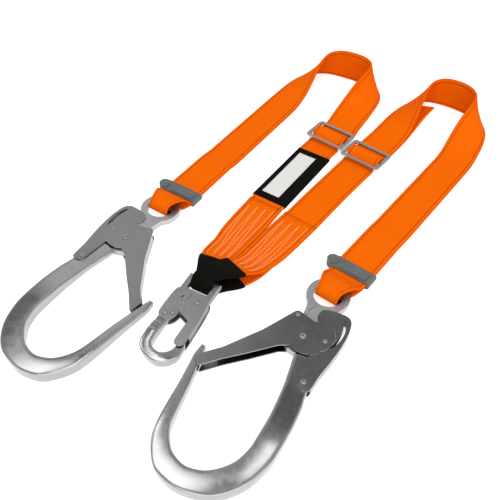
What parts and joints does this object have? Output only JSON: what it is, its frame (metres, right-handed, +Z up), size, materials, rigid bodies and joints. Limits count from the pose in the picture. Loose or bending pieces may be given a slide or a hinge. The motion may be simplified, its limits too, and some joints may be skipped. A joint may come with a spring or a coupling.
{
  "type": "webbing lanyard",
  "caption": "Forked adjustable webbing lanyard with scaffold hooks on its looped legs, slide adjusters, moulded keepers and a double-action snap hook where the legs join.",
  "frame": {"origin": "on the floor under the middle of the box round the lanyard as it lies", "axes": "+Y along the legs away from the hooks, +X to the right, +Z up"},
  "size_m": [0.3254, 0.6676, 0.0457],
  "materials": {
    "webbing": "woven polyester with a fine ribbed weave",
    "wear_cloth": "matte woven cloth",
    "label": "smooth matte film",
    "keeper": "moulded, satin",
    "forged_steel": "plated and polished",
    "sheet_steel": "plated, satin",
    "frame_steel": "plated, satin",
    "pin_steel": "plated",
    "spring_steel": "drawn wire"
  },
  "bodies": {
    "webbing": {"left_leg_webbing": "webbing", "right_leg_webbing": "webbing", "left_snap_sleeve": "wear_cloth", "right_snap_sleeve": "wear_cloth", "left_hook_pad": "wear_cloth", "right_hook_pad": "wear_cloth", "left_slide": "frame_steel", "right_slide": "frame_steel", "label_cover": "wear_cloth", "label_panel": "label"},
    "left_keeper": {"left_keeper": "keeper"},
    "left_hook": {"left_hook_body": "forged_steel", "left_gate_rivet": "pin_steel", "left_lever_rivet": "pin_steel", "left_gate_spring": "spring_steel", "left_lever_spring": "spring_steel"},
    "left_gate": {"left_hook_gate": "sheet_steel", "left_gate_spacer": "pin_steel", "left_lock_pin": "pin_steel"},
    "left_lever": {"left_lock_lever": "sheet_steel"},
    "right_keeper": {"right_keeper": "keeper"},
    "right_hook": {"right_hook_body": "forged_steel", "right_gate_rivet": "pin_steel", "right_lever_rivet": "pin_steel", "right_gate_spring": "spring_steel", "right_lever_spring": "spring_steel"},
    "right_gate": {"right_hook_gate": "sheet_steel", "right_gate_spacer": "pin_steel", "right_lock_pin": "pin_steel"},
    "right_lever": {"right_lock_lever": "sheet_steel"},
    "snap_hook": {"snap_body": "forged_steel", "snap_gate_rivet": "pin_steel", "snap_lever_rivet": "pin_steel", "snap_gate_spring": "spring_steel", "snap_lever_spring": "spring_steel"},
    "snap_gate": {"snap_gate": "sheet_steel", "snap_lock_pin": "pin_steel"},
    "snap_lever": {"snap_lock_lever": "sheet_steel"}
  },
  "joints": [
    {"name": "left_keeper_slide", "type": "slide", "parent": "webbing", "child": "left_keeper", "axis": [-0.0246, 0.9997, 0], "range_m": [0, 0.05]},
    {"name": "left_hook_swing", "type": "hinge", "parent": "webbing", "child": "left_hook", "pos_m": [-0.12598, -0.06031, 0.0072], "axis": [-0.9993, -0.0384, 0], "range_deg": [0, 21]},
    {"name": "left_gate_open", "type": "hinge", "parent": "left_hook", "child": "left_gate", "pos_m": [-0.1228, -0.143, 0.0072], "axis": [0, 0, -1], "range_deg": [0, 36], "stiffness_Nm_per_rad": 0.08, "springref_deg": -20.05, "deforming": ["left_gate_spring"]},
    {"name": "left_lever_squeeze", "type": "hinge", "parent": "left_hook", "child": "left_lever", "pos_m": [-0.14402, -0.18985, 0.0072], "axis": [0, 0, -1], "range_deg": [0, 8], "deforming": ["left_lever_spring"]},
    {"name": "right_keeper_slide", "type": "slide", "parent": "webbing", "child": "right_keeper", "axis": [0.0527, 0.9986, 0], "range_m": [0, 0.05]},
    {"name": "right_hook_swing", "type": "hinge", "parent": "webbing", "child": "right_hook", "pos_m": [0.10499, -0.06, 0.0072], "axis": [-0.9934, -0.1149, 0], "range_deg": [0, 21]},
    {"name": "right_gate_open", "type": "hinge", "parent": "right_hook", "child": "right_gate", "pos_m": [0.1145, -0.1422, 0.0072], "axis": [0, 0, 1], "range_deg": [0, 36], "stiffness_Nm_per_rad": 0.08, "springref_deg": -20.05, "deforming": ["right_gate_spring"]},
    {"name": "right_lever_squeeze", "type": "hinge", "parent": "right_hook", "child": "right_lever", "pos_m": [0.14264, -0.18525, 0.0072], "axis": [0, 0, 1], "range_deg": [0, 8], "deforming": ["right_lever_spring"]},
    {"name": "snap_hook_swing", "type": "hinge", "parent": "webbing", "child": "snap_hook", "pos_m": [-0.0077, -0.143, 0.0137], "axis": [-0.9936, -0.1132, 0], "range_deg": [0, 50]},
    {"name": "snap_gate_open", "type": "hinge", "parent": "snap_hook", "child": "snap_gate", "pos_m": [0.00533, -0.17164, 0.01166], "axis": [-0.0077, 0.0676, -0.9977], "range_deg": [0, 20], "stiffness_Nm_per_rad": 0.08, "springref_deg": -20.05, "deforming": ["snap_gate_spring"]},
    {"name": "snap_lever_squeeze", "type": "hinge", "parent": "snap_hook", "child": "snap_lever", "pos_m": [-0.01595, -0.19867, 0.00999], "axis": [-0.0077, 0.0676, -0.9977], "range_deg": [0, 6], "deforming": ["snap_lever_spring"]}
  ],
  "couplings": [
    {"joint": "left_lever_squeeze", "follows": "left_gate_open", "ratio": 0.22222},
    {"joint": "right_lever_squeeze", "follows": "right_gate_open", "ratio": 0.22222},
    {"joint": "snap_lever_squeeze", "follows": "snap_gate_open", "ratio": 0.3}
  ]
}
